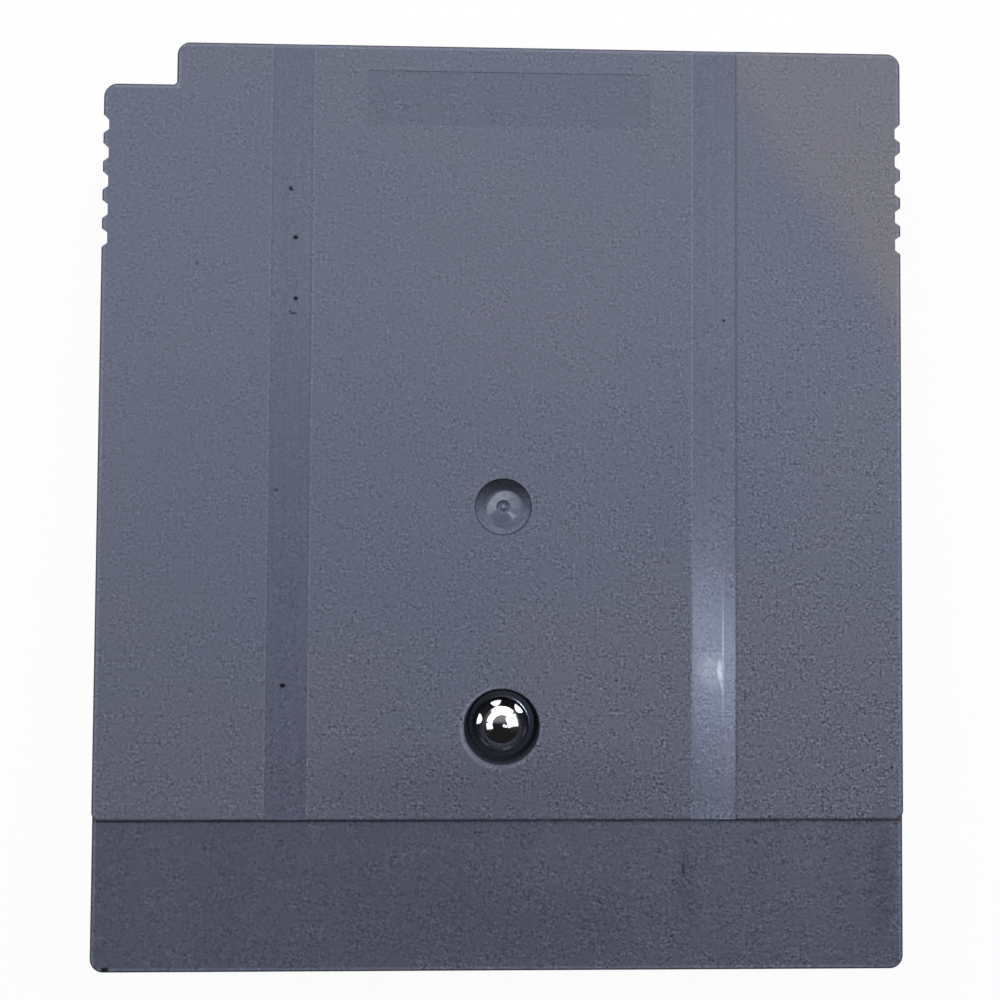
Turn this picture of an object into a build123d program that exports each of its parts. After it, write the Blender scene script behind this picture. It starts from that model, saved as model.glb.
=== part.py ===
from build123d import *
import os
from math import cos, radians, sin, tan

# A handheld game cartridge: two moulded shell halves, held by hooks and one screw, round a
# circuit board. It lies on its front face. X is the width, +Y runs from the open connector
# mouth to the gripped end, and +Z points out of the rear face. The origin is the middle of the
# front face. All sizes are in millimetres and all angles in degrees.

# Shell
SHELL_WIDTH = 57.0
SHELL_HEIGHT = 65.4
SHELL_THICKNESS = 7.8
SIDE_WALL = 2.0
TOP_WALL = 1.6
FRONT_WALL = 1.2
REAR_WALL = 1.3
PARTING_HEIGHT = 4.4
SEAM_REVEAL = 0.12
MOUTH_CORNER_RADIUS = 0.95
TOP_CORNER_RADIUS = 1.0
REAR_EDGE_RADIUS = 0.2
FRONT_EDGE_RADIUS = 0.5
OVERSHOOT = 1.0

# Corner notch, which tells the two ends apart
NOTCH_WIDTH = 5.12
NOTCH_DEPTH = 3.05
NOTCH_EDGE_RADIUS = 0.93
NOTCH_SHOULDER_RADIUS = 0.98
NOTCH_ROOT_RADIUS = 0.25

# Grip grooves on both long sides
GRIP_COUNT = 5
GRIP_PITCH = 2.03
GRIP_LEFT_FROM_TOP = 5.98
GRIP_RIGHT_FROM_TOP = 5.83
GRIP_DEPTH = 0.43
GRIP_FLOOR = 0.78
GRIP_MOUTH = 1.36
GRIP_TOOTH_RADIUS = 0.18

# Rear face: raised panel, lower tongue, smooth bands and bare nameplate recess
TONGUE_LENGTH = 10.5
TONGUE_STEP = 0.25
PANEL_CORNER_RADIUS = 0.6
LEFT_BAND_WIDTH = 2.88
LEFT_BAND_OFFSET = 15.1
RIGHT_BAND_WIDTH = 3.08
RIGHT_BAND_OFFSET = 15.0
BAND_DEPTH = 0.05
PLATE_WIDTH = 20.2
PLATE_HEIGHT = 3.9
PLATE_FROM_TOP = 1.85
PLATE_OFFSET = 0.27
PLATE_DEPTH = 0.03

# Moulding gate: a conical dish with a low, tipped boss, a crater and a nub
GATE_FROM_MOUTH = 32.46
GATE_DIAMETER = 4.05
GATE_RIM_DEPTH = 0.1
GATE_DISH_DEPTH = 0.52
GATE_FLOOR_DIAMETER = 2.3
GATE_BOSS_DEPTH = 0.25
GATE_BOSS_SLOPE = 13.0
GATE_BOSS_TILT = 8.0
GATE_BOSS_TURN = 135.0
GATE_CRATER_DIAMETER = 1.0
GATE_CRATER_TAPER = 0.08
GATE_CRATER_DEPTH = 0.24
GATE_NUB_DIAMETER = 0.46
GATE_NUB_HEIGHT = 0.22

# Screw, its recess in the rear half and its boss in the front half
SCREW_FROM_MOUTH = 17.0
RECESS_DIAMETER = 5.3
RECESS_DEPTH = 2.1
RECESS_EDGE_RADIUS = 0.1
SEAT_THICKNESS = 0.9
CUP_WALL = 1.4
FLANGE_DIAMETER = 4.7
FLANGE_THICKNESS = 0.35
HEAD_DIAMETER = 3.9
HEAD_RIM_HEIGHT = 0.55
HEAD_DOME_HEIGHT = 1.1
DRIVE_NOTCH_COUNT = 6
DRIVE_NOTCH_DIAMETER = 0.84
DRIVE_NOTCH_CIRCLE = 3.75
DRIVE_NOTCH_PHASE = 44.5
DRIVE_NOTCH_SLOPE = 22.0
DRIVE_NOTCH_FLOOR = 0.75
SHANK_DIAMETER = 2.2
SHANK_GAP = 0.35
THREAD_GAP = 0.02
BOSS_WALL = 1.7
PILOT_FLOOR = 0.4
TIP_GAP = 0.5

# Lips along the side walls, and hooks and catches at the gripped end
LIP_THICKNESS = 0.7
LIP_HEIGHT = 0.8
LIP_GAP = 0.1
LIP_SLIDE = 2.0
HOOK_SPACING = 22.0
HOOK_WIDTH = 5.0
HOOK_THICKNESS = 1.2
HOOK_TOE_HEIGHT = 0.8
HOOK_GAP = 0.2
CATCH_DEPTH = 1.3
CATCH_HEIGHT = 1.0
CATCH_MARGIN = 0.5

# Front face: label, bare nameplate recess and insertion arrow
LABEL_WIDTH = 42.0
LABEL_HEIGHT = 37.0
LABEL_THICKNESS = 0.12
LABEL_CORNER_RADIUS = 1.8
LABEL_FROM_MOUTH = 14.7
LABEL_GAP = 0.25
LABEL_RECESS_DEPTH = 0.3
FRONT_PLATE_WIDTH = 44.0
FRONT_PLATE_HEIGHT = 7.6
FRONT_PLATE_FROM_TOP = 3.4
FRONT_PLATE_DEPTH = 0.3
ARROW_WIDTH = 6.4
ARROW_HEIGHT = 4.2
ARROW_FROM_MOUTH = 5.0
ARROW_DEPTH = 0.3

# Circuit board and what carries it
BOARD_THICKNESS = 0.8
BOARD_SIDE_GAP = 0.3
BOARD_INSET = 1.6
BOARD_TOP_GAP = 4.6
BOARD_CORNER_RADIUS = 0.8
BOARD_LEAD_IN = 0.8
BOARD_EDGE_BEVEL = 0.25
CUP_GAP = 0.3
RIB_HEIGHT = 0.3
RIB_WIDTH = 1.2
RIB_SPACING = 34.0
RIB_END_GAP = 1.0
PIN_DIAMETER = 2.0
PIN_GAP = 0.12
PIN_FROM_EDGE = 3.4
PIN_END_GAP = 0.1
POST_DIAMETER = 3.6
RAIL_WIDTH = 1.0
RAIL_FROM_WALL = 1.0
RAIL_FROM_MOUTH = 11.7
RAIL_LENGTH = 8.0

# Edge contacts
CONTACT_PITCH = 1.5
CONTACT_WIDTH = 1.0
CONTACT_LENGTH = 6.8
CONTACT_THICKNESS = 0.04
CONTACT_FROM_EDGE = 0.5
CONTACT_MARGIN = 2.0

# Leaded chips: the body sizes, the leads that they share and the gaps between them
ROM_LENGTH = 20.5
ROM_WIDTH = 11.3
ROM_HEIGHT = 2.7
MEMORY_LENGTH = 18.0
MEMORY_WIDTH = 8.5
MEMORY_HEIGHT = 2.5
CONTROLLER_LENGTH = 15.4
CONTROLLER_WIDTH = 7.5
CONTROLLER_HEIGHT = 2.3
MONITOR_LENGTH = 5.0
MONITOR_WIDTH = 4.4
MONITOR_HEIGHT = 1.6
CHIP_DRAFT = 7.0
CHIP_STANDOFF = 0.15
CHIP_DIMPLE_DIAMETER = 1.0
CHIP_DIMPLE_DEPTH = 0.1
CHIP_DIMPLE_FROM_EDGE = 1.4
CHIP_GAP = 1.2
CHIP_FROM_EDGE = 1.5
LEAD_PITCH = 1.27
LEAD_WIDTH = 0.42
LEAD_THICKNESS = 0.2
LEAD_REACH = 1.4
LEAD_SHOULDER = 0.35
LEAD_FOOT = 0.7
LEAD_MARGIN = 0.3

# Solder lands under the leads, terminals and tabs
LAND_THICKNESS = 0.05
LAND_MARGIN = 0.15

# Backup cell and its two welded tabs
CELL_DIAMETER = 16.0
CELL_HEIGHT = 1.6
CELL_CAN_RADIUS = 0.4
CELL_CAP_DIAMETER = 13.4
CELL_CAP_HEIGHT = 0.35
CELL_FROM_EDGE = 2.5
TAB_WIDTH = 3.6
TAB_THICKNESS = 0.2
TAB_SPACING = 7.0
TAB_REACH = 3.6
TAB_FOOT = 2.2
TAB_OVERLAP = 4.5

# Two-terminal pieces: capacitors, resistors and a diode
CAPACITOR_LENGTH = 2.0
CAPACITOR_WIDTH = 1.25
CAPACITOR_HEIGHT = 0.85
RESISTOR_LENGTH = 2.0
RESISTOR_WIDTH = 1.25
RESISTOR_HEIGHT = 0.5
DIODE_LENGTH = 3.4
DIODE_DIAMETER = 1.4
TERMINAL_LENGTH = 0.4
PASSIVE_PITCH = 4.6
PASSIVE_ROW_PITCH = 3.4
PASSIVE_FROM_EDGE = 4.0
CAPACITOR_NAMES = ["rom_capacitor", "memory_capacitor", "controller_capacitor", "supply_capacitor"]
RESISTOR_NAMES = ["reset_resistor", "select_resistor", "sense_resistor", "cell_resistor"]

# Places that several pieces share
side_x = SHELL_WIDTH / 2
top_y = SHELL_HEIGHT / 2
mouth_y = -top_y
inner_x = side_x - SIDE_WALL
inner_top = top_y - TOP_WALL
notch_x = NOTCH_WIDTH - side_x
notch_y = top_y - NOTCH_DEPTH
step_y = mouth_y + TONGUE_LENGTH
screw_y = mouth_y + SCREW_FROM_MOUTH
tongue_z = SHELL_THICKNESS - TONGUE_STEP
panel_inner = SHELL_THICKNESS - REAR_WALL
board_back = panel_inner - RIB_HEIGHT
board_front = board_back - BOARD_THICKNESS
seat_top = SHELL_THICKNESS - RECESS_DEPTH
seat_bottom = seat_top - SEAT_THICKNESS
pilot_bottom = FRONT_WALL + PILOT_FLOOR
cup_diameter = RECESS_DIAMETER + 2 * CUP_WALL
pilot_diameter = SHANK_DIAMETER + 2 * THREAD_GAP

board_half = inner_x - BOARD_SIDE_GAP
board_low = mouth_y + BOARD_INSET
board_high = inner_top - BOARD_TOP_GAP
cup_hole_radius = cup_diameter / 2 + CUP_GAP
pin_x = board_half - PIN_FROM_EDGE
pin_y = board_high - PIN_FROM_EDGE
contact_top = board_low + CONTACT_FROM_EDGE + CONTACT_LENGTH
chip_row = screw_y + cup_hole_radius + CHIP_GAP
control_row = contact_top + CHIP_GAP
rom_top = chip_row + ROM_WIDTH + 2 * LEAD_REACH
memory_top = chip_row + MEMORY_WIDTH + 2 * LEAD_REACH

toe_bottom = FRONT_WALL + HOOK_GAP
toe_top = toe_bottom + HOOK_TOE_HEIGHT
catch_bottom = toe_top + HOOK_GAP
catch_y = inner_top - CATCH_DEPTH
hook_y = catch_y - HOOK_GAP


# Shared helpers

def span_box(x_low, x_high, y_low, y_high, z_low, z_high):
    """A box between two corners."""
    middle = Pos((x_low + x_high) / 2, (y_low + y_high) / 2, (z_low + z_high) / 2)
    return middle * Box(x_high - x_low, y_high - y_low, z_high - z_low)


def span_sheet(x_low, x_high, y_low, y_high):
    """A rectangle between two corners."""
    return Pos((x_low + x_high) / 2, (y_low + y_high) / 2) * Rectangle(x_high - x_low, y_high - y_low)


def span_sheet_xz(x_low, x_high, z_low, z_high):
    """A rectangle in the upright XZ plane."""
    return Plane.XZ * span_sheet(x_low, x_high, z_low, z_high)


def upright(x, y, diameter, z_low, z_high):
    """A round bar along Z between two heights."""
    return Pos(x, y, (z_low + z_high) / 2) * Cylinder(diameter / 2, z_high - z_low)


def prism(sheet, z_low, z_high):
    """A flat sheet extruded between two heights."""
    return Pos(0, 0, z_low) * extrude(sheet, amount=z_high - z_low)


def round_corner(sheet, x, y, radius):
    """The sheet with its corner nearest to a point rounded."""
    corner = sheet.vertices().sort_by_distance((x, y, 0))[0]
    return fillet(corner, radius)


def group(solids):
    """Separate solids that share one node."""
    return Compound(children=[solid for shape in solids for solid in shape.solids()])


# Outlines of the shell

def plain_outline():
    """The outline of both halves without the grips."""
    notch = Pos(-side_x, top_y) * Rectangle(2 * NOTCH_WIDTH, 2 * NOTCH_DEPTH)
    sheet = Rectangle(SHELL_WIDTH, SHELL_HEIGHT) - notch
    corners = [
        (-side_x, mouth_y, MOUTH_CORNER_RADIUS),
        (side_x, mouth_y, MOUTH_CORNER_RADIUS),
        (side_x, top_y, TOP_CORNER_RADIUS),
        (notch_x, top_y, NOTCH_EDGE_RADIUS),
        (notch_x, notch_y, NOTCH_ROOT_RADIUS),
        (-side_x, notch_y, NOTCH_SHOULDER_RADIUS),
    ]
    for x, y, radius in corners:
        sheet = round_corner(sheet, x, y, radius)
    return sheet


def grip_groove(side, y):
    """One groove across the side of the shell, seen from the rear."""
    wall_x = side * side_x
    floor_x = side * (side_x - GRIP_DEPTH)
    return Polyline(
        (wall_x, y + GRIP_MOUTH / 2),
        (floor_x, y + GRIP_FLOOR / 2),
        (floor_x, y - GRIP_FLOOR / 2),
        (wall_x, y - GRIP_MOUTH / 2),
        close=True,
    )


def gripped_outline():
    """The outline with the grip grooves, their teeth rounded."""
    sheet = plain_outline()
    tooth_corners = []
    for side, from_top in ((-1, GRIP_LEFT_FROM_TOP), (1, GRIP_RIGHT_FROM_TOP)):
        for index in range(GRIP_COUNT):
            y = top_y - from_top - index * GRIP_PITCH
            sheet -= make_face(grip_groove(side, y))
            for edge_y in (y - GRIP_MOUTH / 2, y + GRIP_MOUTH / 2):
                tooth_corners.append((side * side_x, edge_y, 0))
    teeth = [sheet.vertices().sort_by_distance(corner)[0] for corner in tooth_corners]
    return fillet(teeth, GRIP_TOOTH_RADIUS)


def pocket_outline():
    """The hollow inside both halves, open at the mouth and clear of the notch."""
    low = mouth_y - OVERSHOOT
    hollow = Pos(0, (low + inner_top) / 2) * Rectangle(2 * inner_x, inner_top - low)
    corner = Pos(-side_x, top_y) * Rectangle(
        2 * (NOTCH_WIDTH + SIDE_WALL), 2 * (NOTCH_DEPTH + TOP_WALL)
    )
    return hollow - corner


def rounded_block(sheet, z_low, z_high, radius, rear):
    """A sheet as a block whose rear or front face has a rounded edge."""
    block = prism(sheet, z_low, z_high)
    face = block.faces().sort_by(Axis.Z)[-1 if rear else 0]
    return fillet(face.edges(), radius)


# Rear half of the shell

def rear_body():
    """The outside of the rear half: the tongue with the raised panel on it."""
    plain = plain_outline()
    panel_sheet = plain & span_sheet(-side_x, side_x, step_y, top_y)
    for x in (-side_x, side_x):
        panel_sheet = round_corner(panel_sheet, x, step_y, PANEL_CORNER_RADIUS)
    tongue = rounded_block(plain, PARTING_HEIGHT, tongue_z, REAR_EDGE_RADIUS, True)
    panel = rounded_block(panel_sheet, PARTING_HEIGHT, SHELL_THICKNESS, REAR_EDGE_RADIUS, True)
    return (tongue + panel) & prism(gripped_outline(), PARTING_HEIGHT, SHELL_THICKNESS)


def rear_hollow():
    """The space inside the rear half, deeper behind the panel than behind the tongue."""
    pocket = pocket_outline()
    behind_panel = pocket & span_sheet(-inner_x, inner_x, step_y + REAR_WALL, inner_top)
    return prism(pocket, PARTING_HEIGHT, board_back) + prism(behind_panel, PARTING_HEIGHT, panel_inner)


def seam_reveal():
    """The narrow step that makes the line of shadow round the seam."""
    plain = plain_outline()
    ring = plain - offset(plain, amount=-SEAM_REVEAL)
    return prism(ring, PARTING_HEIGHT, PARTING_HEIGHT + SEAM_REVEAL)


def gate_boss():
    """What is left of the gate, about its own axis: a low cone with a crater and a domed nub."""
    reach = GATE_DIAMETER / 2
    crater_rim = (GATE_CRATER_DIAMETER / 2, 0)
    flank_end = (reach, -(reach - crater_rim[0]) * tan(radians(GATE_BOSS_SLOPE)))
    crater_foot = (crater_rim[0] - GATE_CRATER_TAPER, -GATE_CRATER_DEPTH)
    nub_foot = (GATE_NUB_DIAMETER / 2, -GATE_CRATER_DEPTH)
    nub_top = (0, GATE_NUB_HEIGHT - GATE_CRATER_DEPTH)
    nub_radius = (nub_foot[0] ** 2 + GATE_NUB_HEIGHT ** 2) / (2 * GATE_NUB_HEIGHT)
    sides = Polyline(
        nub_top, (0, -OVERSHOOT), (reach, -OVERSHOOT), flank_end, crater_rim, crater_foot, nub_foot
    )
    nub = RadiusArc(nub_foot, nub_top, -nub_radius)
    return revolve(Plane.XZ * make_face(sides + nub), Axis.Z)


def gate_cut():
    """The gate mark: a conical dish round the boss, which was torn off a little askew."""
    dish = Polyline(
        (0, OVERSHOOT),
        (GATE_DIAMETER / 2, OVERSHOOT),
        (GATE_DIAMETER / 2, -GATE_RIM_DEPTH),
        (GATE_FLOOR_DIAMETER / 2, -GATE_DISH_DEPTH),
        (0, -GATE_DISH_DEPTH),
        close=True,
    )
    dish = revolve(Plane.XZ * make_face(dish), Axis.Z)
    askew = Pos(0, 0, -GATE_BOSS_DEPTH) * Rot(0, 0, GATE_BOSS_TURN) * Rot(0, GATE_BOSS_TILT, 0)
    return Pos(0, mouth_y + GATE_FROM_MOUTH, SHELL_THICKNESS) * (dish - askew * gate_boss())


def recess_cut():
    """The screw recess with a rounded rim, turned about the screw's axis."""
    wall = RECESS_DIAMETER / 2
    rim = wall + RECESS_EDGE_RADIUS
    sides = Polyline(
        (wall, -RECESS_EDGE_RADIUS),
        (wall, -RECESS_DEPTH),
        (0, -RECESS_DEPTH),
        (0, OVERSHOOT),
        (rim, OVERSHOOT),
        (rim, 0),
    )
    rounding = RadiusArc((rim, 0), (wall, -RECESS_EDGE_RADIUS), -RECESS_EDGE_RADIUS)
    profile = Plane.XZ * make_face(sides + rounding)
    return Pos(0, screw_y, SHELL_THICKNESS) * revolve(profile, Axis.Z)


def rear_face_cuts():
    """The smooth bands, the nameplate recess, the gate and the screw recess."""
    above = SHELL_THICKNESS + OVERSHOOT
    cuts = [gate_cut()]
    bands = [(-LEFT_BAND_OFFSET, LEFT_BAND_WIDTH), (RIGHT_BAND_OFFSET, RIGHT_BAND_WIDTH)]
    for middle, width in bands:
        x_low = middle - width / 2
        x_high = middle + width / 2
        floor = SHELL_THICKNESS - BAND_DEPTH
        cuts.append(span_box(x_low, x_high, step_y - OVERSHOOT, top_y + OVERSHOOT, floor, above))
    plate_top = top_y - PLATE_FROM_TOP
    plate_floor = SHELL_THICKNESS - PLATE_DEPTH
    plate_left = PLATE_OFFSET - PLATE_WIDTH / 2
    plate_right = PLATE_OFFSET + PLATE_WIDTH / 2
    plate_bottom = plate_top - PLATE_HEIGHT
    cuts.append(span_box(plate_left, plate_right, plate_bottom, plate_top, plate_floor, above))
    cuts.append(recess_cut())
    shank_hole = SHANK_DIAMETER + 2 * SHANK_GAP
    cuts.append(upright(0, screw_y, shank_hole, seat_bottom - OVERSHOOT, seat_top + OVERSHOOT))
    return cuts


def hook(middle):
    """One hook: a leg behind the panel with a toe under its catch."""
    x_low = middle - HOOK_WIDTH / 2
    x_high = middle + HOOK_WIDTH / 2
    leg = span_box(x_low, x_high, hook_y - HOOK_THICKNESS, hook_y, toe_bottom, panel_inner)
    toe = span_box(x_low, x_high, hook_y - HOOK_THICKNESS, inner_top - HOOK_GAP, toe_bottom, toe_top)
    return leg + toe


def rear_shell():
    """The rear half with its screw cup, board pins, ribs, hooks and lip rebates."""
    shell = rear_body() - rear_hollow()
    shell += upright(0, screw_y, cup_diameter, seat_bottom, panel_inner)
    for side in (-1, 1):
        shell += upright(side * pin_x, pin_y, PIN_DIAMETER, board_front + PIN_END_GAP, panel_inner)
        rib_x = side * RIB_SPACING / 2
        rib_low = step_y + REAR_WALL
        rib_high = board_high - RIB_END_GAP
        shell += span_box(
            rib_x - RIB_WIDTH / 2, rib_x + RIB_WIDTH / 2, rib_low, rib_high, board_back, panel_inner
        )
        shell += hook(side * HOOK_SPACING / 2)
        rebate_x = side * (inner_x + (LIP_THICKNESS + LIP_GAP) / 2)
        rebate_half = (LIP_THICKNESS + LIP_GAP) / 2
        shell -= span_box(
            rebate_x - rebate_half, rebate_x + rebate_half, mouth_y - OVERSHOOT, notch_y - TOP_WALL,
            PARTING_HEIGHT - OVERSHOOT, PARTING_HEIGHT + LIP_HEIGHT + LIP_GAP,
        )
    shell -= seam_reveal()
    for cut in rear_face_cuts():
        shell -= cut
    return shell


# Front half of the shell

def front_face_cuts():
    """The label recess, the bare nameplate recess and the insertion arrow."""
    recess = RectangleRounded(
        LABEL_WIDTH + 2 * LABEL_GAP, LABEL_HEIGHT + 2 * LABEL_GAP, LABEL_CORNER_RADIUS + LABEL_GAP
    )
    plate = SlotOverall(FRONT_PLATE_WIDTH, FRONT_PLATE_HEIGHT)
    plate_y = top_y - FRONT_PLATE_FROM_TOP - FRONT_PLATE_HEIGHT / 2
    tip_y = mouth_y + ARROW_FROM_MOUTH
    arrow = make_face(
        Polyline(
            (0, tip_y),
            (ARROW_WIDTH / 2, tip_y + ARROW_HEIGHT),
            (-ARROW_WIDTH / 2, tip_y + ARROW_HEIGHT),
            close=True,
        )
    )
    return [
        prism(Pos(0, label_y()) * recess, -OVERSHOOT, LABEL_RECESS_DEPTH),
        prism(Pos(0, plate_y) * plate, -OVERSHOOT, FRONT_PLATE_DEPTH),
        prism(arrow, -OVERSHOOT, ARROW_DEPTH),
    ]


def label_y():
    """The middle of the label along the cartridge."""
    return mouth_y + LABEL_FROM_MOUTH + LABEL_HEIGHT / 2


def side_fittings(side):
    """What stands on one side of the front half: lip, post, rail and catch."""
    lip_x = side * (inner_x + LIP_THICKNESS / 2)
    lip_half = LIP_THICKNESS / 2
    lip_high = notch_y - TOP_WALL - LIP_SLIDE
    rail_x = side * (inner_x - RAIL_FROM_WALL - RAIL_WIDTH / 2)
    rail_half = RAIL_WIDTH / 2
    rail_low = mouth_y + RAIL_FROM_MOUTH
    catch_x = side * HOOK_SPACING / 2
    catch_half = HOOK_WIDTH / 2 + CATCH_MARGIN
    return [
        span_box(
            lip_x - lip_half, lip_x + lip_half, mouth_y, lip_high,
            FRONT_WALL, PARTING_HEIGHT + LIP_HEIGHT,
        ),
        upright(side * pin_x, pin_y, POST_DIAMETER, FRONT_WALL, board_front),
        span_box(
            rail_x - rail_half, rail_x + rail_half, rail_low, rail_low + RAIL_LENGTH,
            FRONT_WALL, board_front,
        ),
        span_box(
            catch_x - catch_half, catch_x + catch_half, catch_y, inner_top,
            catch_bottom, catch_bottom + CATCH_HEIGHT,
        ),
    ]


def front_shell():
    """The front half with its screw boss, lips, posts, rails and catches."""
    outside = rounded_block(plain_outline(), 0, PARTING_HEIGHT, FRONT_EDGE_RADIUS, False)
    shell = outside & prism(gripped_outline(), 0, PARTING_HEIGHT)
    shell -= prism(pocket_outline(), FRONT_WALL, PARTING_HEIGHT + OVERSHOOT)
    shell += upright(0, screw_y, SHANK_DIAMETER + 2 * BOSS_WALL, FRONT_WALL, seat_bottom)
    for side in (-1, 1):
        for fitting in side_fittings(side):
            shell += fitting
    shell -= upright(0, screw_y, pilot_diameter, pilot_bottom, seat_bottom + OVERSHOOT)
    for cut in front_face_cuts():
        shell -= cut
    return shell


def front_label():
    """The label on the floor of its recess."""
    sheet = RectangleRounded(LABEL_WIDTH, LABEL_HEIGHT, LABEL_CORNER_RADIUS)
    return prism(Pos(0, label_y()) * sheet, LABEL_RECESS_DEPTH - LABEL_THICKNESS, LABEL_RECESS_DEPTH)


# Screw

def drive_notch(index):
    """One of the half-round notches round the head, with a floor that falls outwards."""
    angle = radians(DRIVE_NOTCH_PHASE + index * 360 / DRIVE_NOTCH_COUNT)
    reach = DRIVE_NOTCH_CIRCLE / 2
    floor_z = seat_top + FLANGE_THICKNESS + DRIVE_NOTCH_FLOOR
    top_z = floor_z + HEAD_RIM_HEIGHT + HEAD_DOME_HEIGHT
    outward = Vector(cos(angle), sin(angle), 0)
    middle = Vector(0, screw_y, floor_z) + outward * reach
    slot = upright(middle.X, middle.Y, DRIVE_NOTCH_DIAMETER, floor_z - DRIVE_NOTCH_FLOOR, top_z)
    outside = middle + outward * DRIVE_NOTCH_DIAMETER / 2
    widening = Pos(outside.X, outside.Y, (floor_z - DRIVE_NOTCH_FLOOR + top_z) / 2) * Rot(
        0, 0, DRIVE_NOTCH_PHASE + index * 360 / DRIVE_NOTCH_COUNT
    ) * Box(DRIVE_NOTCH_DIAMETER, DRIVE_NOTCH_DIAMETER, top_z - floor_z + DRIVE_NOTCH_FLOOR)
    slope = radians(DRIVE_NOTCH_SLOPE)
    normal = outward * sin(slope) + Vector(0, 0, cos(slope))
    return split(slot + widening, bisect_by=Plane(origin=middle, z_dir=normal), keep=Keep.TOP)


def shell_screw():
    """The security screw: flange, domed head with notches, and plain shank."""
    rim_top = seat_top + FLANGE_THICKNESS + HEAD_RIM_HEIGHT
    dome_top = rim_top + HEAD_DOME_HEIGHT
    head = HEAD_DIAMETER / 2
    dome_radius = (head ** 2 + HEAD_DOME_HEIGHT ** 2) / (2 * HEAD_DOME_HEIGHT)
    tip = pilot_bottom + TIP_GAP
    sides = Polyline(
        (0, dome_top),
        (0, tip),
        (SHANK_DIAMETER / 2, tip),
        (SHANK_DIAMETER / 2, seat_top),
        (FLANGE_DIAMETER / 2, seat_top),
        (FLANGE_DIAMETER / 2, seat_top + FLANGE_THICKNESS),
        (head, seat_top + FLANGE_THICKNESS),
        (head, rim_top),
    )
    dome = RadiusArc((head, rim_top), (0, dome_top), -dome_radius)
    profile = Plane.XZ * make_face(sides + dome)
    screw = Pos(0, screw_y, 0) * revolve(profile, Axis.Z)
    for index in range(DRIVE_NOTCH_COUNT):
        screw -= drive_notch(index)
    return screw


# Circuit board

def circuit_board():
    """The board with its cup hole, pin holes, lead-in corners and bevelled contact edge."""
    sheet = span_sheet(-board_half, board_half, board_low, board_high)
    for x in (-board_half, board_half):
        sheet = round_corner(sheet, x, board_high, BOARD_CORNER_RADIUS)
        corner = sheet.vertices().sort_by_distance((x, board_low, 0))[0]
        sheet = chamfer(corner, BOARD_LEAD_IN)
    sheet -= Pos(0, screw_y) * Circle(cup_hole_radius)
    for x in (-pin_x, pin_x):
        sheet -= Pos(x, pin_y) * Circle(PIN_DIAMETER / 2 + PIN_GAP)
    board = prism(sheet, board_front, board_back)
    contact_face = board.faces().sort_by(Axis.Y)[0]
    return chamfer(contact_face.edges().filter_by(Axis.X), BOARD_EDGE_BEVEL)


def edge_contacts():
    """As many plated contacts as the board's edge has room for."""
    room = 2 * (board_half - CONTACT_MARGIN) - CONTACT_WIDTH
    count = int(room / CONTACT_PITCH) + 1
    contacts = []
    for index in range(count):
        x = (index - (count - 1) / 2) * CONTACT_PITCH
        contacts.append(
            span_box(
                x - CONTACT_WIDTH / 2, x + CONTACT_WIDTH / 2, contact_top - CONTACT_LENGTH, contact_top,
                board_front - CONTACT_THICKNESS, board_front,
            )
        )
    return group(contacts)


def on_board(shapes, x, y):
    """Shapes drawn standing on a board, set on the board's front face."""
    return [Pos(x, y, board_front) * Rot(0, 180, 0) * shape for shape in shapes]


# Leaded chips, drawn standing on the board

def chip_body(length, width, height):
    """A moulded body, drafted both ways from the plane of its leads, with a dimple."""
    half = height / 2
    middle = CHIP_STANDOFF + half
    upper = Pos(0, 0, middle) * extrude(Rectangle(length, width), amount=half, taper=CHIP_DRAFT)
    lower = Pos(0, 0, middle) * Rot(180, 0, 0) * extrude(
        Rectangle(length, width), amount=half, taper=CHIP_DRAFT
    )
    top = CHIP_STANDOFF + height
    dimple_x = length / 2 - CHIP_DIMPLE_FROM_EDGE
    dimple_y = width / 2 - CHIP_DIMPLE_FROM_EDGE
    dimple = upright(dimple_x, dimple_y, CHIP_DIMPLE_DIAMETER, top - CHIP_DIMPLE_DEPTH, top + OVERSHOOT)
    return upper + lower - dimple


def lead_places(length):
    """Where the leads leave one side of a body of this length."""
    count = int((length - 2 * LEAD_MARGIN - LEAD_WIDTH) / LEAD_PITCH) + 1
    return [(index - (count - 1) / 2) * LEAD_PITCH for index in range(count)]


def lead_blank(height):
    """One lead from the body's side, down to a flat foot on its land."""
    exit_z = CHIP_STANDOFF + height / 2
    half = LEAD_THICKNESS / 2
    knee = LEAD_REACH - LEAD_FOOT
    points = [
        (0, exit_z + half),
        (LEAD_SHOULDER, exit_z + half),
        (knee + LEAD_THICKNESS, LAND_THICKNESS + LEAD_THICKNESS),
        (LEAD_REACH, LAND_THICKNESS + LEAD_THICKNESS),
        (LEAD_REACH, LAND_THICKNESS),
        (knee, LAND_THICKNESS),
        (LEAD_SHOULDER - LEAD_THICKNESS, exit_z - half),
        (0, exit_z - half),
    ]
    profile = Plane.YZ * make_face(Polyline(*points, close=True))
    return extrude(profile, amount=LEAD_WIDTH / 2, both=True)


def chip_leads(length, width, height):
    """The leads along both sides of a body."""
    blank = Pos(0, width / 2, 0) * lead_blank(height)
    leads = []
    for x in lead_places(length):
        leads.append(Pos(x, 0, 0) * blank)
        leads.append(Pos(x, 0, 0) * Rot(0, 0, 180) * blank)
    return leads


def chip_lands(length, width):
    """The lands under the feet of a chip."""
    low = width / 2 + LEAD_REACH - LEAD_FOOT - LAND_MARGIN
    high = width / 2 + LEAD_REACH + LAND_MARGIN
    half = LEAD_WIDTH / 2 + LAND_MARGIN
    lands = []
    for x in lead_places(length):
        lands.append(span_box(x - half, x + half, low, high, 0, LAND_THICKNESS))
        lands.append(span_box(x - half, x + half, -high, -low, 0, LAND_THICKNESS))
    return lands


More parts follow.
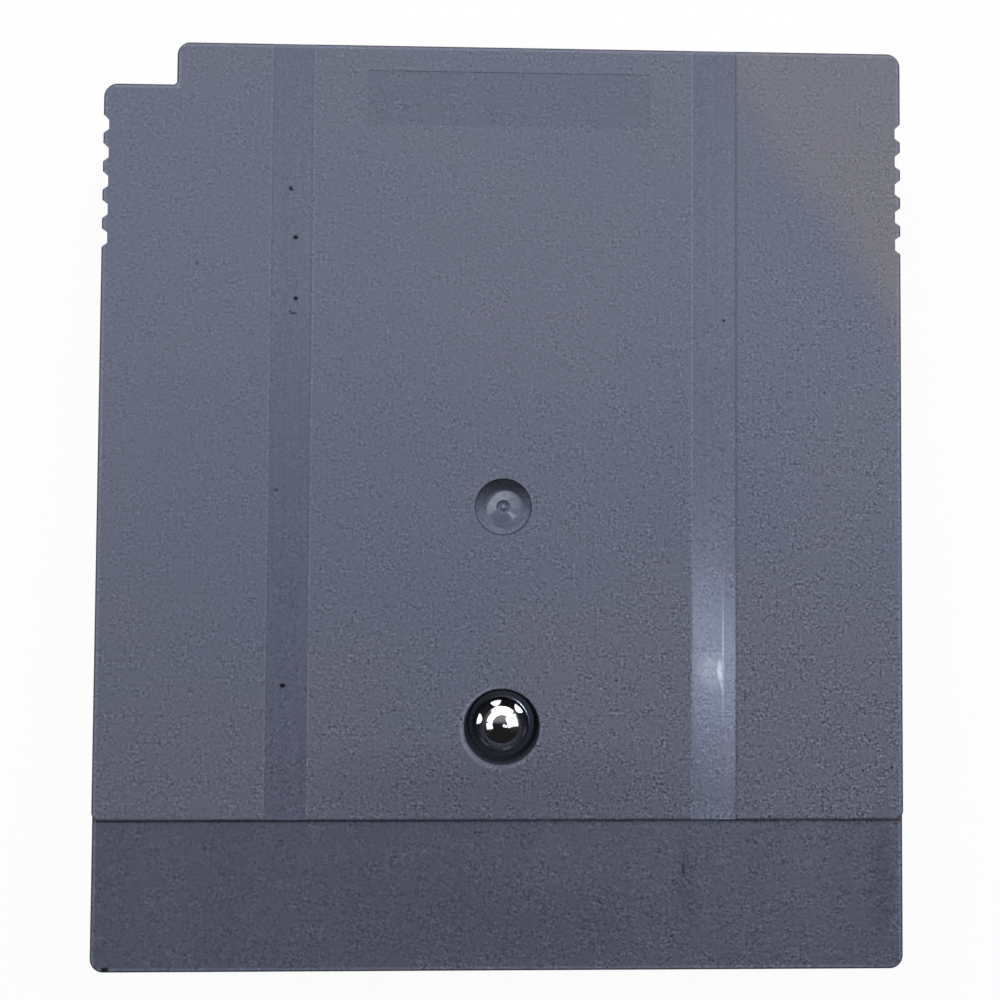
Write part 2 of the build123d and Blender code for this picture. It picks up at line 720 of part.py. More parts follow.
def chip_nodes():
    """Each chip's body and leads by name, and the lands of all of them."""
    rom_x = CHIP_FROM_EDGE + ROM_LENGTH / 2 - board_half
    memory_x = board_half - CHIP_FROM_EDGE - MEMORY_LENGTH / 2
    controller_x = -cup_hole_radius - CHIP_GAP - CONTROLLER_LENGTH / 2
    monitor_x = cup_hole_radius + CHIP_GAP + MONITOR_LENGTH / 2
    chips = {
        "rom": (ROM_LENGTH, ROM_WIDTH, ROM_HEIGHT, rom_x, chip_row),
        "save_memory": (MEMORY_LENGTH, MEMORY_WIDTH, MEMORY_HEIGHT, memory_x, chip_row),
        "bank_controller": (
            CONTROLLER_LENGTH, CONTROLLER_WIDTH, CONTROLLER_HEIGHT, controller_x, control_row
        ),
        "power_monitor": (MONITOR_LENGTH, MONITOR_WIDTH, MONITOR_HEIGHT, monitor_x, control_row),
    }
    nodes = {}
    lands = []
    for name, (length, width, height, x, low) in chips.items():
        y = low + LEAD_REACH + width / 2
        nodes[name + "_chip"] = group(on_board([chip_body(length, width, height)], x, y))
        nodes[name + "_leads"] = group(on_board(chip_leads(length, width, height), x, y))
        lands += on_board(chip_lands(length, width), x, y)
    return nodes, lands


# Backup cell, drawn standing on the board

def cell_body():
    """The sealed cell, its smaller cap towards the board."""
    low = LAND_THICKNESS + TAB_THICKNESS
    outer = CELL_DIAMETER / 2
    cap = CELL_CAP_DIAMETER / 2
    sides = Polyline(
        (outer - CELL_CAN_RADIUS, low + CELL_HEIGHT),
        (0, low + CELL_HEIGHT),
        (0, low),
        (cap, low),
        (cap, low + CELL_CAP_HEIGHT),
        (outer, low + CELL_CAP_HEIGHT),
        (outer, low + CELL_HEIGHT - CELL_CAN_RADIUS),
    )
    shoulder = RadiusArc(
        (outer, low + CELL_HEIGHT - CELL_CAN_RADIUS),
        (outer - CELL_CAN_RADIUS, low + CELL_HEIGHT),
        -CELL_CAN_RADIUS,
    )
    return revolve(Plane.XZ * make_face(sides + shoulder), Axis.Z)


def positive_tab():
    """The strip from the top of the can, out and down to its land."""
    outer = CELL_DIAMETER / 2
    under = LAND_THICKNESS + TAB_THICKNESS + CELL_HEIGHT
    foot = outer + TAB_REACH - TAB_FOOT
    strip = span_sheet_xz(outer - TAB_OVERLAP, foot + TAB_THICKNESS, under, under + TAB_THICKNESS)
    strip += span_sheet_xz(foot, foot + TAB_THICKNESS, LAND_THICKNESS, under)
    strip += span_sheet_xz(foot, foot + TAB_FOOT, LAND_THICKNESS, LAND_THICKNESS + TAB_THICKNESS)
    return Pos(0, TAB_SPACING / 2, 0) * extrude(strip, amount=TAB_WIDTH / 2, both=True)


def negative_tab():
    """The flat strip from under the cap, out to its land."""
    outer = CELL_DIAMETER / 2
    y = -TAB_SPACING / 2
    return span_box(
        CELL_CAP_DIAMETER / 2 - TAB_OVERLAP, outer + TAB_REACH, y - TAB_WIDTH / 2, y + TAB_WIDTH / 2,
        LAND_THICKNESS, LAND_THICKNESS + TAB_THICKNESS,
    )


def tab_lands():
    """The lands under the two tabs."""
    outer = CELL_DIAMETER / 2
    half = TAB_WIDTH / 2 + LAND_MARGIN
    low = outer + TAB_REACH - TAB_FOOT - LAND_MARGIN
    high = outer + TAB_REACH + LAND_MARGIN
    return [
        span_box(low, high, y - half, y + half, 0, LAND_THICKNESS)
        for y in (-TAB_SPACING / 2, TAB_SPACING / 2)
    ]


def cell_nodes():
    """The cell and its tabs by name, and their lands."""
    x = board_half - CELL_FROM_EDGE - CELL_DIAMETER / 2
    y = memory_top + CHIP_GAP + CELL_DIAMETER / 2
    nodes = {
        "backup_cell": group(on_board([cell_body()], x, y)),
        "cell_positive_tab": group(on_board([positive_tab()], x, y)),
        "cell_negative_tab": group(on_board([negative_tab()], x, y)),
    }
    return nodes, on_board(tab_lands(), x, y)


# Two-terminal pieces, drawn standing on the board

def end_boxes(length, width, z_low, z_high):
    """The two plated ends of a chip capacitor or resistor."""
    low = length / 2 - TERMINAL_LENGTH
    high = length / 2
    return [
        span_box(low, high, -width / 2, width / 2, z_low, z_high),
        span_box(-high, -low, -width / 2, width / 2, z_low, z_high),
    ]


def middle_box(length, width, height):
    """The body between the two plated ends."""
    half = length / 2 - TERMINAL_LENGTH
    return span_box(-half, half, -width / 2, width / 2, LAND_THICKNESS, LAND_THICKNESS + height)


def end_lands(length, width):
    """The lands under the two ends."""
    return end_boxes(length + 2 * LAND_MARGIN, width + 2 * LAND_MARGIN, 0, LAND_THICKNESS)


def lying_bar(x_low, x_high, diameter):
    """A round bar along X that rests on its lands."""
    bar = Rot(0, 90, 0) * Cylinder(diameter / 2, x_high - x_low)
    return Pos((x_low + x_high) / 2, 0, LAND_THICKNESS + diameter / 2) * bar


def diode_ends():
    """The two round end caps of the diode."""
    low = DIODE_LENGTH / 2 - TERMINAL_LENGTH
    high = DIODE_LENGTH / 2
    return [lying_bar(low, high, DIODE_DIAMETER), lying_bar(-high, -low, DIODE_DIAMETER)]


def passive_nodes():
    """A row of capacitors with the diode at its end, a row of resistors, and their lands."""
    first_x = PASSIVE_FROM_EDGE - board_half
    first_y = rom_top + CHIP_GAP + CAPACITOR_WIDTH / 2
    kinds = {
        "capacitor": (CAPACITOR_NAMES, CAPACITOR_LENGTH, CAPACITOR_WIDTH, CAPACITOR_HEIGHT, first_y),
        "resistor": (
            RESISTOR_NAMES, RESISTOR_LENGTH, RESISTOR_WIDTH, RESISTOR_HEIGHT, first_y + PASSIVE_ROW_PITCH
        ),
    }
    nodes = {}
    lands = []
    for kind, (names, length, width, height, y) in kinds.items():
        terminals = []
        for index, name in enumerate(names):
            x = first_x + index * PASSIVE_PITCH
            nodes[name] = group(on_board([middle_box(length, width, height)], x, y))
            ends = end_boxes(length, width, LAND_THICKNESS, LAND_THICKNESS + height)
            terminals += on_board(ends, x, y)
            lands += on_board(end_lands(length, width), x, y)
        nodes[kind + "_terminals"] = group(terminals)
    diode_x = first_x + len(CAPACITOR_NAMES) * PASSIVE_PITCH
    glass = DIODE_LENGTH / 2 - TERMINAL_LENGTH
    nodes["steering_diode"] = group(on_board([lying_bar(-glass, glass, DIODE_DIAMETER)], diode_x, first_y))
    nodes["diode_terminals"] = group(on_board(diode_ends(), diode_x, first_y))
    lands += on_board(end_lands(DIODE_LENGTH, DIODE_DIAMETER), diode_x, first_y)
    return nodes, lands


# Whole cartridge

def all_nodes():
    """Every piece of the cartridge by its node name."""
    nodes = {
        "rear_shell": rear_shell(),
        "front_shell": front_shell(),
        "shell_screw": shell_screw(),
        "front_label": front_label(),
        "circuit_board": circuit_board(),
        "edge_contacts": edge_contacts(),
    }
    lands = []
    for more_nodes, more_lands in (chip_nodes(), cell_nodes(), passive_nodes()):
        nodes.update(more_nodes)
        lands += more_lands
    nodes["solder_lands"] = group(lands)
    return nodes


os.makedirs("parts", exist_ok=True)
for node_name, node_shape in all_nodes().items():
    export_step(node_shape, f"parts/{node_name}.step")
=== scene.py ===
from math import cos, pi, radians, sin

import bpy
from mathutils import Matrix, Vector


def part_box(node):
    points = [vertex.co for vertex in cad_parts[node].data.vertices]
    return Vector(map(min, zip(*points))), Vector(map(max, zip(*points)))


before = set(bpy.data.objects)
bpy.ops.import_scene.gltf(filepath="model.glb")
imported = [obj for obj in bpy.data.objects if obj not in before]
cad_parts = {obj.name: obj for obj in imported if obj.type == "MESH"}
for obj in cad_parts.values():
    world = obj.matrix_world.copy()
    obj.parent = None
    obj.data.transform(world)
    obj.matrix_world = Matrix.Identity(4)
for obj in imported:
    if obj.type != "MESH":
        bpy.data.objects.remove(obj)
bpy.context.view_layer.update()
scene = bpy.context.scene
MM = 0.001


# Helpers for every finish

def linear(hex_colour):
    """An sRGB hex colour as the linear colour that a shader takes."""
    channels = [int(hex_colour[i:i + 2], 16) / 255 for i in (1, 3, 5)]
    return [c / 12.92 if c <= 0.04045 else ((c + 0.055) / 1.055) ** 2.4 for c in channels] + [1.0]


def node(tree, kind, inputs, **settings):
    """Adds a node with its settings, gives each input a link or a value, and returns its outputs."""
    made = tree.nodes.new("ShaderNode" + kind)
    for name, value in settings.items():
        setattr(made, name, value)
    for name, value in inputs.items():
        if isinstance(value, bpy.types.NodeSocket):
            tree.links.new(value, made.inputs[name])
        else:
            made.inputs[name].default_value = value
    return made.outputs


def start_finish(name):
    """A new material with an empty node tree, and the place on the part in millimetres."""
    material = bpy.data.materials.new(name)
    material.use_nodes = True
    tree = material.node_tree
    tree.nodes.clear()
    place = node(tree, "TexCoord", {})["Object"]
    place_mm = node(tree, "VectorMath", {0: place, "Scale": 1 / MM}, operation="SCALE")[0]
    return material, tree, place_mm


def end_finish(material, tree, surface):
    """The material with its shader's inputs joined to its output."""
    shader = node(tree, "BsdfPrincipled", surface)[0]
    node(tree, "OutputMaterial", {"Surface": shader})
    return material


def within(tree, *limits):
    """A mask that is 1 where each value lies between its own two limits."""
    mask = 1.0
    for value, low, high in limits:
        inside = {0: value, 1: (low + high) / 2, 2: (high - low) / 2}
        inside = node(tree, "Math", inside, operation="COMPARE")[0]
        mask = node(tree, "Math", {0: mask, 1: inside}, operation="MULTIPLY")[0]
    return mask


def spot(tree, place_mm, middle, radii, soft, strength):
    """A mask for one oval mark on the rear face, in millimetres."""
    flat = (1 / radii[0], 1 / radii[1], 0)
    away = (-middle[0] / radii[0], -middle[1] / radii[1], 0)
    scaled = node(tree, "VectorMath", {0: place_mm, 1: flat, 2: away}, operation="MULTIPLY_ADD")[0]
    reach = node(tree, "VectorMath", {0: scaled}, operation="LENGTH")["Value"]
    fade = {"Value": reach, "From Min": 1 - soft, "From Max": 1 + soft, "To Min": strength, "To Max": 0.0}
    return node(tree, "MapRange", fade, interpolation_type="SMOOTHSTEP")[0]


# Shell halves: moulded ABS

# Places on the rear shell, in millimetres
REAR_Z = 7.8
FACE_Z = (7.55, 9.0)
RIM_Z = (7.3, 9.0)
RECESS_Z = (4.5, 7.78)
OUTLINE_X = 28.5
OUTLINE_Y = 32.7
NOTCH_X = -23.38
NOTCH_Y = 29.65
RIM_WIDTH = 0.32
PAST_OUTLINE = 40.0
STEP_Y = -22.2
LEFT_BAND_X = (-16.54, -13.66)
RIGHT_BAND_X = (13.46, 16.54)
BAND_EDGE_WIDTH = 0.14
PLATE_X = (-9.83, 10.37)
PLATE_Y = (26.95, 30.85)
GATE = (0.0, -0.24)
GATE_RADIUS = 2.02
GATE_RING_MIDDLE = (-0.02, -0.21)
GATE_RING_RADIUS = 1.94
GATE_BOSS_RADIUS = 1.2
SCREW = (0.0, -15.7)
RECESS_RADIUS = 2.74
# Middle and radius of the painted highlight on the screw recess's rim
RIM_GLEAM_MIDDLE = (-0.1, -15.78)
RIM_GLEAM_RADIUS = 2.88
DOME_RADIUS = 1.96

# Grain of the moulding, in millimetres. The real grain is about 0.1 wide, too fine to show, so it is
# drawn coarser
COARSE_GRAIN = 0.42
FINE_GRAIN = 0.23
FLECK_GRAIN = 0.19
GRAIN_PATCH = 0.9
GRAIN_DEPTH = 0.035

# Broader patterns on the shells, in millimetres
TONE_DRIFT = 14.0
BORDER_WAVER = 9.0
WIPE_WIDTH = 2.2
STREAK_WIDTH = 0.3

ABS_IOR = 1.53
SATIN = 0.5
POLISHED = 0.17
# Colour of dirt, and of painted shade in corners and along edges
DIRT_AND_SHADE = "#20212b"
# Pale colour of the painted highlights on the band edges and the screw recess's rim
PALE_HIGHLIGHT = "#9aa0b2"

# Dirt caught in the grain: middle and radii in millimetres, and strength
SPECKS = [
    ((-15.24, 22.29), (0.13, 0.16), 0.9),
    ((-15.10, 22.18), (0.07, 0.07), 0.9),
    ((-14.85, 18.79), (0.19, 0.15), 1.0),
    ((-14.78, 14.44), (0.15, 0.15), 1.0),
    ((-14.94, 13.38), (0.26, 0.08), 0.7),
    ((-15.18, 13.52), (0.09, 0.07), 0.7),
    ((-15.37, -12.82), (0.20, 0.15), 1.0),
    ((-16.00, 0.88), (0.12, 0.10), 0.6),
    ((-21.74, 16.84), (0.12, 0.14), 0.5),
    ((-2.86, -15.15), (0.10, 0.12), 0.9),
    ((15.68, 13.18), (0.13, 0.11), 0.8),
    ((15.11, 9.73), (0.11, 0.08), 0.5),
    ((11.89, 4.12), (0.12, 0.10), 0.5),
    ((-27.41, -32.45), (0.28, 0.15), 1.0),
    ((12.85, -25.75), (0.09, 0.45), 0.75),
    ((12.87, -24.75), (0.07, 0.35), 0.45),
    ((-15.39, -23.62), (0.20, 0.08), 0.5),
    ((-7.43, -24.72), (0.10, 0.10), 0.5),
    ((-14.56, -29.86), (0.09, 0.11), 0.5),
]

# Grey smears on the tongue, softer and wider, with painted shade first, above the step
SMEARS_AND_SHADE = [
    # Painted shade over the middle of the panel above the step
    ((0.0, -20.2), (11.0, 2.6), 0.3),
    ((13.1, -27.2), (0.7, 3.6), 0.3),
    ((26.95, -26.2), (0.75, 3.8), 0.5),
    ((-4.0, -28.5), (5.5, 3.0), 0.2),
    ((4.5, -29.5), (4.0, 2.5), 0.2),
]

# Painted glints on the right-hand band, where it mirrors the cool lamp
BAND_GLINTS = [
    ((15.62, -10.6), (0.05, 3.6), 0.55),
    ((15.38, -11.7), (0.14, 0.65), 0.95),
    ((15.50, -12.3), (0.06, 0.9), 0.6),
    ((14.8, -11.7), (0.8, 1.1), 0.25),
]

# All of them as they are laid on: marks, softness of their edge, and colour
SPOT_MARKS = [
    (SMEARS_AND_SHADE, 0.8, "#454859"),
    (SPECKS, 0.35, "#1d1e26"),
    (BAND_GLINTS, 0.6, "#ccd1dc"),
]

# Painted highlights and shadow along the band edges: left side in millimetres, strength and colour
BAND_EDGES = [
    (-16.66, 0.12, PALE_HIGHLIGHT),
    (-13.66, 0.12, PALE_HIGHLIGHT),
    (13.34, 0.2, PALE_HIGHLIGHT),
    (16.54, 0.24, DIRT_AND_SHADE),
]

# Painted highlight and shade on the outline: how far it faces up, from and to, strength, colour
RIM_LIGHT_AND_SHADE = [
    (0.965, 1.2, 0.28, "#8d93a7"),
    (0.1, 0.965, 0.6, "#23252f"),
]


def shell_plastic(name, rear):
    """Moulded ABS: a satin blue-grey, its spark-eroded grain breaking the gloss into fine specks."""
    material, tree, mm = start_finish(name)
    coarse = node(tree, "TexNoise", {"Vector": mm, "Scale": 1 / COARSE_GRAIN, "Detail": 1.0})[0]
    fine = node(tree, "TexNoise", {"Vector": mm, "Scale": 1 / FINE_GRAIN, "Detail": 2.0})[0]
    fleck = node(tree, "TexNoise", {"Vector": mm, "Scale": 1 / FLECK_GRAIN, "Detail": 2.0})[0]
    patch = node(tree, "TexNoise", {"Vector": mm, "Scale": 1 / GRAIN_PATCH, "Detail": 1.0})[0]
    grain = node(tree, "Math", {0: coarse, 1: fine}, operation="ADD")[0]
    uneven = {"Value": patch, "From Min": 0.3, "From Max": 0.7, "To Min": 0.3, "To Max": 1.7}
    depth = contrast = node(tree, "MapRange", uneven)[0]

    # Two close tones drift over the plastic
    cloud = node(tree, "TexNoise", {"Vector": mm, "Scale": 1 / TONE_DRIFT, "Detail": 1.0})[0]
    tone = node(tree, "MapRange", {"Value": cloud, "From Min": 0.35, "From Max": 0.65})[0]
    tones = {0: tone, 6: linear("#656b80"), 7: linear("#686c7e")}
    colour = node(tree, "Mix", tones, data_type="RGBA")[2]
    roughness = SATIN
    gloss = 0.5
    if rear:
        # Years of handling wore the grain down at the gripped end, so it is deepest at the lower right
        toward = {0: mm, 1: (0.013, -0.022, 0.0)}
        toward = node(tree, "VectorMath", toward, operation="DOT_PRODUCT")["Value"]
        worn = {"Value": toward, "From Min": -0.3, "From Max": 0.8, "To Min": 0.72, "To Max": 1.75}
        remaining = node(tree, "MapRange", worn)[0]
        depth = node(tree, "Math", {0: depth, 1: remaining}, operation="MULTIPLY")[0]

        # Where smooth, the grain is shallow and shows less; the dish and the edge shade lose the gloss
        colour, smooth, dull = rear_marks(tree, mm, colour, fine)
        gloss = node(tree, "MapRange", {"Value": dull, "From Min": -1.0, "To Min": 0.65, "To Max": 0.1})[0]
        roughness = node(tree, "MapRange", {"Value": smooth, "To Min": SATIN, "To Max": POLISHED})[0]
        shown = {"Value": smooth, "From Max": 0.45, "To Min": 1.0, "To Max": 0.65}
        shown = node(tree, "MapRange", shown)[0]
        contrast = node(tree, "Math", {0: depth, 1: shown}, operation="MULTIPLY")[0]
        kept = node(tree, "MapRange", {"Value": smooth, "To Min": 1.0, "To Max": 0.1})[0]
        depth = node(tree, "Math", {0: depth, 1: kept}, operation="MULTIPLY")[0]
    fleck = node(tree, "Math", {0: fleck, 1: 0.5}, operation="SUBTRACT")[0]
    fleck = node(tree, "Math", {0: fleck, 1: contrast}, operation="MULTIPLY")[0]
    fleck = node(tree, "Math", {0: fleck, 1: 2.5, 2: 0.5}, operation="MULTIPLY_ADD")[0]
    flecked = {0: 0.3, 6: colour, 7: fleck}
    colour = node(tree, "Mix", flecked, data_type="RGBA", blend_type="OVERLAY")[2]
    depth = node(tree, "Math", {0: depth, 1: GRAIN_DEPTH * MM}, operation="MULTIPLY")[0]
    bump = node(tree, "Bump", {"Height": grain, "Distance": depth})[0]
    surface = {"Base Color": colour, "Roughness": roughness, "IOR": ABS_IOR, "Normal": bump}
    surface["Specular IOR Level"] = gloss
    return end_finish(material, tree, surface)


def rear_marks(tree, mm, colour, fine):
    """The rear face's colour with all its marks, and masks of where it is smooth and where dull."""
    x, y, z = node(tree, "SeparateXYZ", {"Vector": mm})
    jag = node(tree, "MapRange", {"Value": fine, "To Min": -0.12, "To Max": 0.12})[0]
    colour = face_light_and_shade(tree, mm, y, colour)

    # The bare nameplate recess is a shade darker
    plate = within(tree, (x, *PLATE_X), (y, *PLATE_Y))
    shaded = node(tree, "Math", {0: plate, 1: 0.4}, operation="MULTIPLY")[0]
    colour = node(tree, "Mix", {0: shaded, 6: colour, 7: linear("#565c70")}, data_type="RGBA")[2]

    # The tongue is a little darker, with faint upright wipes
    tongue = within(tree, (y, -PAST_OUTLINE, STEP_Y))
    upright = node(tree, "VectorMath", {0: mm, 1: (1.0, 0.07, 1.0)}, operation="MULTIPLY")[0]
    wipes = node(tree, "TexNoise", {"Vector": upright, "Scale": 1 / WIPE_WIDTH, "Detail": 1.0})[0]
    wipes = node(tree, "MapRange", {"Value": wipes, "To Min": 0.55, "To Max": 1.0})[0]
    darker_tongue = node(tree, "Math", {0: tongue, 1: wipes}, operation="MULTIPLY")[0]
    colour = node(tree, "Mix", {0: darker_tongue, 6: colour, 7: linear("#56586a")}, data_type="RGBA")[2]

    jagged = node(tree, "Math", {0: x, 1: jag}, operation="ADD")[0]
    colour, bands = smooth_bands(tree, mm, (jagged, y, z), colour, fine)

    # The panel is a little darker towards the gripped end
    top_darker = {"Value": y, "From Min": 15.0, "From Max": 33.0, "To Max": 0.34}
    top_darker = node(tree, "MapRange", top_darker)[0]
    colour = node(tree, "Mix", {0: top_darker, 6: colour, 7: linear("#535869")}, data_type="RGBA")[2]

    # Painted shade lies in the corner under the step
    ragged = node(tree, "Math", {0: y, 1: jag}, operation="ADD")[0]
    corner = within(tree, (ragged, STEP_Y - 0.14, STEP_Y + 0.04))
    thick = node(tree, "MapRange", {"Value": wipes, "From Min": 0.55, "To Min": 0.45, "To Max": 0.9})[0]
    corner_shade = node(tree, "Math", {0: corner, 1: thick}, operation="MULTIPLY")[0]
    colour = node(tree, "Mix", {0: corner_shade, 6: colour, 7: linear(DIRT_AND_SHADE)}, data_type="RGBA")[2]

    colour, gate, boss = gate_and_recess(tree, mm, (y, z), colour, thick)
    colour, edge_shade = rim_light_and_shade(tree, (x, y, z), colour)
    for marks, soft, tone in SPOT_MARKS:
        for middle, radii, strength in marks:
            mark = spot(tree, mm, middle, radii, soft, strength)
            colour = node(tree, "Mix", {0: mark, 6: colour, 7: linear(tone)}, data_type="RGBA")[2]

    # The dish and the painted shade along the outer edge take no gloss, and the boss is polished
    dull = node(tree, "Math", {0: boss, 1: -2.0, 2: gate}, operation="MULTIPLY_ADD")[0]
    dull = node(tree, "Math", {0: dull, 1: edge_shade}, operation="ADD")[0]
    smooth = node(tree, "Math", {0: bands, 1: boss}, operation="MAXIMUM")[0]
    for mask, share in ((gate, 0.2), (tongue, 0.45)):
        part_smooth = node(tree, "Math", {0: mask, 1: share}, operation="MULTIPLY")[0]
        smooth = node(tree, "Math", {0: smooth, 1: part_smooth}, operation="MAXIMUM")[0]
    return colour, smooth, dull


def face_light_and_shade(tree, mm, y, colour):
    """The colour with painted warm light on one corner and painted shade towards the step."""
    # A painted patch of warm light lies on the upper right corner, with a soft slanting border
    toward = {0: mm, 1: (0.858, 0.511, 0.0)}
    toward = node(tree, "VectorMath", toward, operation="DOT_PRODUCT")["Value"]
    waver = node(tree, "TexNoise", {"Vector": mm, "Scale": 1 / BORDER_WAVER, "Detail": 0.0})[0]
    waver = node(tree, "MapRange", {"Value": waver, "To Min": -1.5, "To Max": 1.5})[0]
    reach = node(tree, "Math", {0: toward, 1: waver}, operation="ADD")[0]
    warm_reach = {"Value": reach, "From Min": 28.6, "From Max": 32.2, "To Max": 0.9}
    warm_light = node(tree, "MapRange", warm_reach, interpolation_type="SMOOTHSTEP")[0]
    colour = node(tree, "Mix", {0: warm_light, 6: colour, 7: linear("#76757d")}, data_type="RGBA")[2]

    # Painted shade greys and darkens the panel towards the step
    lower_shade_range = {"Value": y, "From Min": 2.0, "From Max": -20.0, "To Max": 0.35}
    lower_shade = node(tree, "MapRange", lower_shade_range)[0]
    return node(tree, "Mix", {0: lower_shade, 6: colour, 7: linear("#605f68")}, data_type="RGBA")[2]


def smooth_bands(tree, mm, place, colour, fine):
    """The colour with the two bands, and a mask of where they are."""
    jagged, y, z = place
    panel = ((y, STEP_Y, PAST_OUTLINE), (z, *FACE_Z))
    left_band = within(tree, (jagged, *LEFT_BAND_X), *panel)
    right_band = within(tree, (jagged, *RIGHT_BAND_X), *panel)
    bands = node(tree, "Math", {0: left_band, 1: right_band}, operation="ADD")[0]

    # They have drawn streaks along them, and the left one is darker towards the step
    drawn = node(tree, "VectorMath", {0: mm, 1: (1.0, 0.02, 1.0)}, operation="MULTIPLY")[0]
    streaks = node(tree, "TexNoise", {"Vector": drawn, "Scale": 1 / STREAK_WIDTH, "Detail": 1.0})[0]
    streaks = node(tree, "Math", {0: streaks, 1: fine}, operation="ADD")[0]
    streaks = node(tree, "MapRange", {"Value": streaks, "From Min": 0.4, "From Max": 1.6})[0]
    left_darkening = node(tree, "MapRange", {"Value": y, "From Min": 22.0, "From Max": -18.0})[0]
    left_darkening = node(tree, "Math", {0: left_darkening, 1: left_band}, operation="MULTIPLY")[0]
    clean_tone = {0: streaks, 6: linear("#686d80"), 7: linear("#74798b")}
    clean_tone = node(tree, "Mix", clean_tone, data_type="RGBA")[2]
    darker_band_tone = {0: streaks, 6: linear("#5b5f71"), 7: linear("#676a7c")}
    darker_band_tone = node(tree, "Mix", darker_band_tone, data_type="RGBA")[2]
    band_tone = node(tree, "Mix", {0: left_darkening, 6: clean_tone, 7: darker_band_tone}, data_type="RGBA")[2]
    colour = node(tree, "Mix", {0: bands, 6: colour, 7: band_tone}, data_type="RGBA")[2]

    # Painted highlights pale their edges, and a painted shadow darkens the right one's outer edge
    for low, strength, tone in BAND_EDGES:
        line = within(tree, (jagged, low, low + BAND_EDGE_WIDTH), (y, STEP_Y, PAST_OUTLINE))
        line = node(tree, "Math", {0: line, 1: strength}, operation="MULTIPLY")[0]
        colour = node(tree, "Mix", {0: line, 6: colour, 7: linear(tone)}, data_type="RGBA")[2]
    return colour, bands


def gate_and_recess(tree, mm, place, colour, thick):
    """The colour with the gate and the screw's recess, and masks of the gate and its boss."""
    y, z = place

    # The dish's upper half is painted shade round a clean boss; painted shade with dirt rings its rim
    gate = spot(tree, mm, GATE, (GATE_RADIUS, GATE_RADIUS), 0.01, 1.0)
    boss = spot(tree, mm, GATE, (GATE_BOSS_RADIUS, GATE_BOSS_RADIUS), 0.15, 1.0)
    upper_shade = {"Value": y, "From Min": GATE[1] - 0.6, "From Max": GATE[1] + 1.5}
    upper_shade = node(tree, "MapRange", upper_shade)[0]
    dish = node(tree, "Mix", {0: upper_shade, 6: linear("#666c80"), 7: linear("#3b3c47")}, data_type="RGBA")[2]
    bare = node(tree, "Mix", {0: boss, 6: dish, 7: linear("#666c81")}, data_type="RGBA")[2]
    colour = node(tree, "Mix", {0: gate, 6: colour, 7: bare}, data_type="RGBA")[2]
    # Painted shade with dirt along the foot of the rim
    inner = spot(tree, mm, GATE_RING_MIDDLE, (GATE_RING_RADIUS, GATE_RING_RADIUS), 0.02, 1.0)
    rim_dirt_and_shade = node(tree, "Math", {0: gate, 1: inner}, operation="SUBTRACT")[0]
    rim_dirt_and_shade = node(tree, "Math", {0: rim_dirt_and_shade, 1: thick}, operation="MULTIPLY")[0]
    colour = node(tree, "Mix", {0: rim_dirt_and_shade, 6: colour, 7: linear(DIRT_AND_SHADE)}, data_type="RGBA")[2]

    # The screw's recess is darkened by painted shade and dirt, with a painted highlight on its rim
    recess_dirt_and_shade = spot(tree, mm, SCREW, (RECESS_RADIUS, RECESS_RADIUS), 0.02, 0.85)
    sunk = within(tree, (z, *RECESS_Z))
    recess_dirt_and_shade = node(tree, "Math", {0: recess_dirt_and_shade, 1: sunk}, operation="MULTIPLY")[0]
    colour = node(tree, "Mix", {0: recess_dirt_and_shade, 6: colour, 7: linear("#292c3d")}, data_type="RGBA")[2]
    # A painted highlight on the recess's rounded rim, towards the lower left
    rim_gleam = spot(tree, mm, RIM_GLEAM_MIDDLE, (RIM_GLEAM_RADIUS, RIM_GLEAM_RADIUS), 0.02, 0.4)
    hollow = spot(tree, mm, SCREW, (RECESS_RADIUS, RECESS_RADIUS), 0.02, 1.0)
    rim_gleam = node(tree, "Math", {0: rim_gleam, 1: hollow}, operation="SUBTRACT", use_clamp=True)[0]
    colour = node(tree, "Mix", {0: rim_gleam, 6: colour, 7: linear(PALE_HIGHLIGHT)}, data_type="RGBA")[2]
    return colour, gate, boss


def rim_light_and_shade(tree, place, colour):
    """The colour with painted highlights on its rims, and a mask of the painted shade at their outer edge.
    """
    x, y, z = place
    facing = node(tree, "TexCoord", {})["Normal"]
    upward = node(tree, "SeparateXYZ", {"Vector": facing})["Z"]
    inner_x = OUTLINE_X - RIM_WIDTH
    inner_y = OUTLINE_Y - RIM_WIDTH
    inside = within(tree, (x, -inner_x, inner_x), (y, -inner_y, inner_y))
    beside_notch = (x, -PAST_OUTLINE, NOTCH_X + RIM_WIDTH)
    notch = within(tree, beside_notch, (y, NOTCH_Y - RIM_WIDTH, PAST_OUTLINE))
    inside = node(tree, "Math", {0: inside, 1: notch}, operation="SUBTRACT", use_clamp=True)[0]
    border = within(tree, (z, *RIM_Z))
    border = node(tree, "Math", {0: border, 1: inside}, operation="SUBTRACT", use_clamp=True)[0]
    for low, high, strength, tone in RIM_LIGHT_AND_SHADE:
        rim = within(tree, (upward, low, high))
        rim = node(tree, "Math", {0: rim, 1: border}, operation="MULTIPLY")[0]
        rim = node(tree, "Math", {0: rim, 1: strength}, operation="MULTIPLY")[0]
        colour = node(tree, "Mix", {0: rim, 6: colour, 7: linear(tone)}, data_type="RGBA")[2]
    return colour, rim


# Screw, label and board

# Sizes of their patterns, in millimetres
TARNISH_PATCH = 0.5
RUST_PIT = 0.16
PAPER_FIBRE = 0.35
CLOTH_PITCH = 0.698
RESIST_CLOUD = 6.0
RUBBED_LINE = 0.12
GLASS_STREAK = 0.5

# Width of one wave of a wave pattern at a scale of one, in millimetres
WAVE_UNIT = pi / 10

# Print on the label, in millimetres
FIELD_X = (-19.4, 19.4)
FIELD_Y = (-16.4, 11.0)
STRIP_Y = (12.4, 17.4)


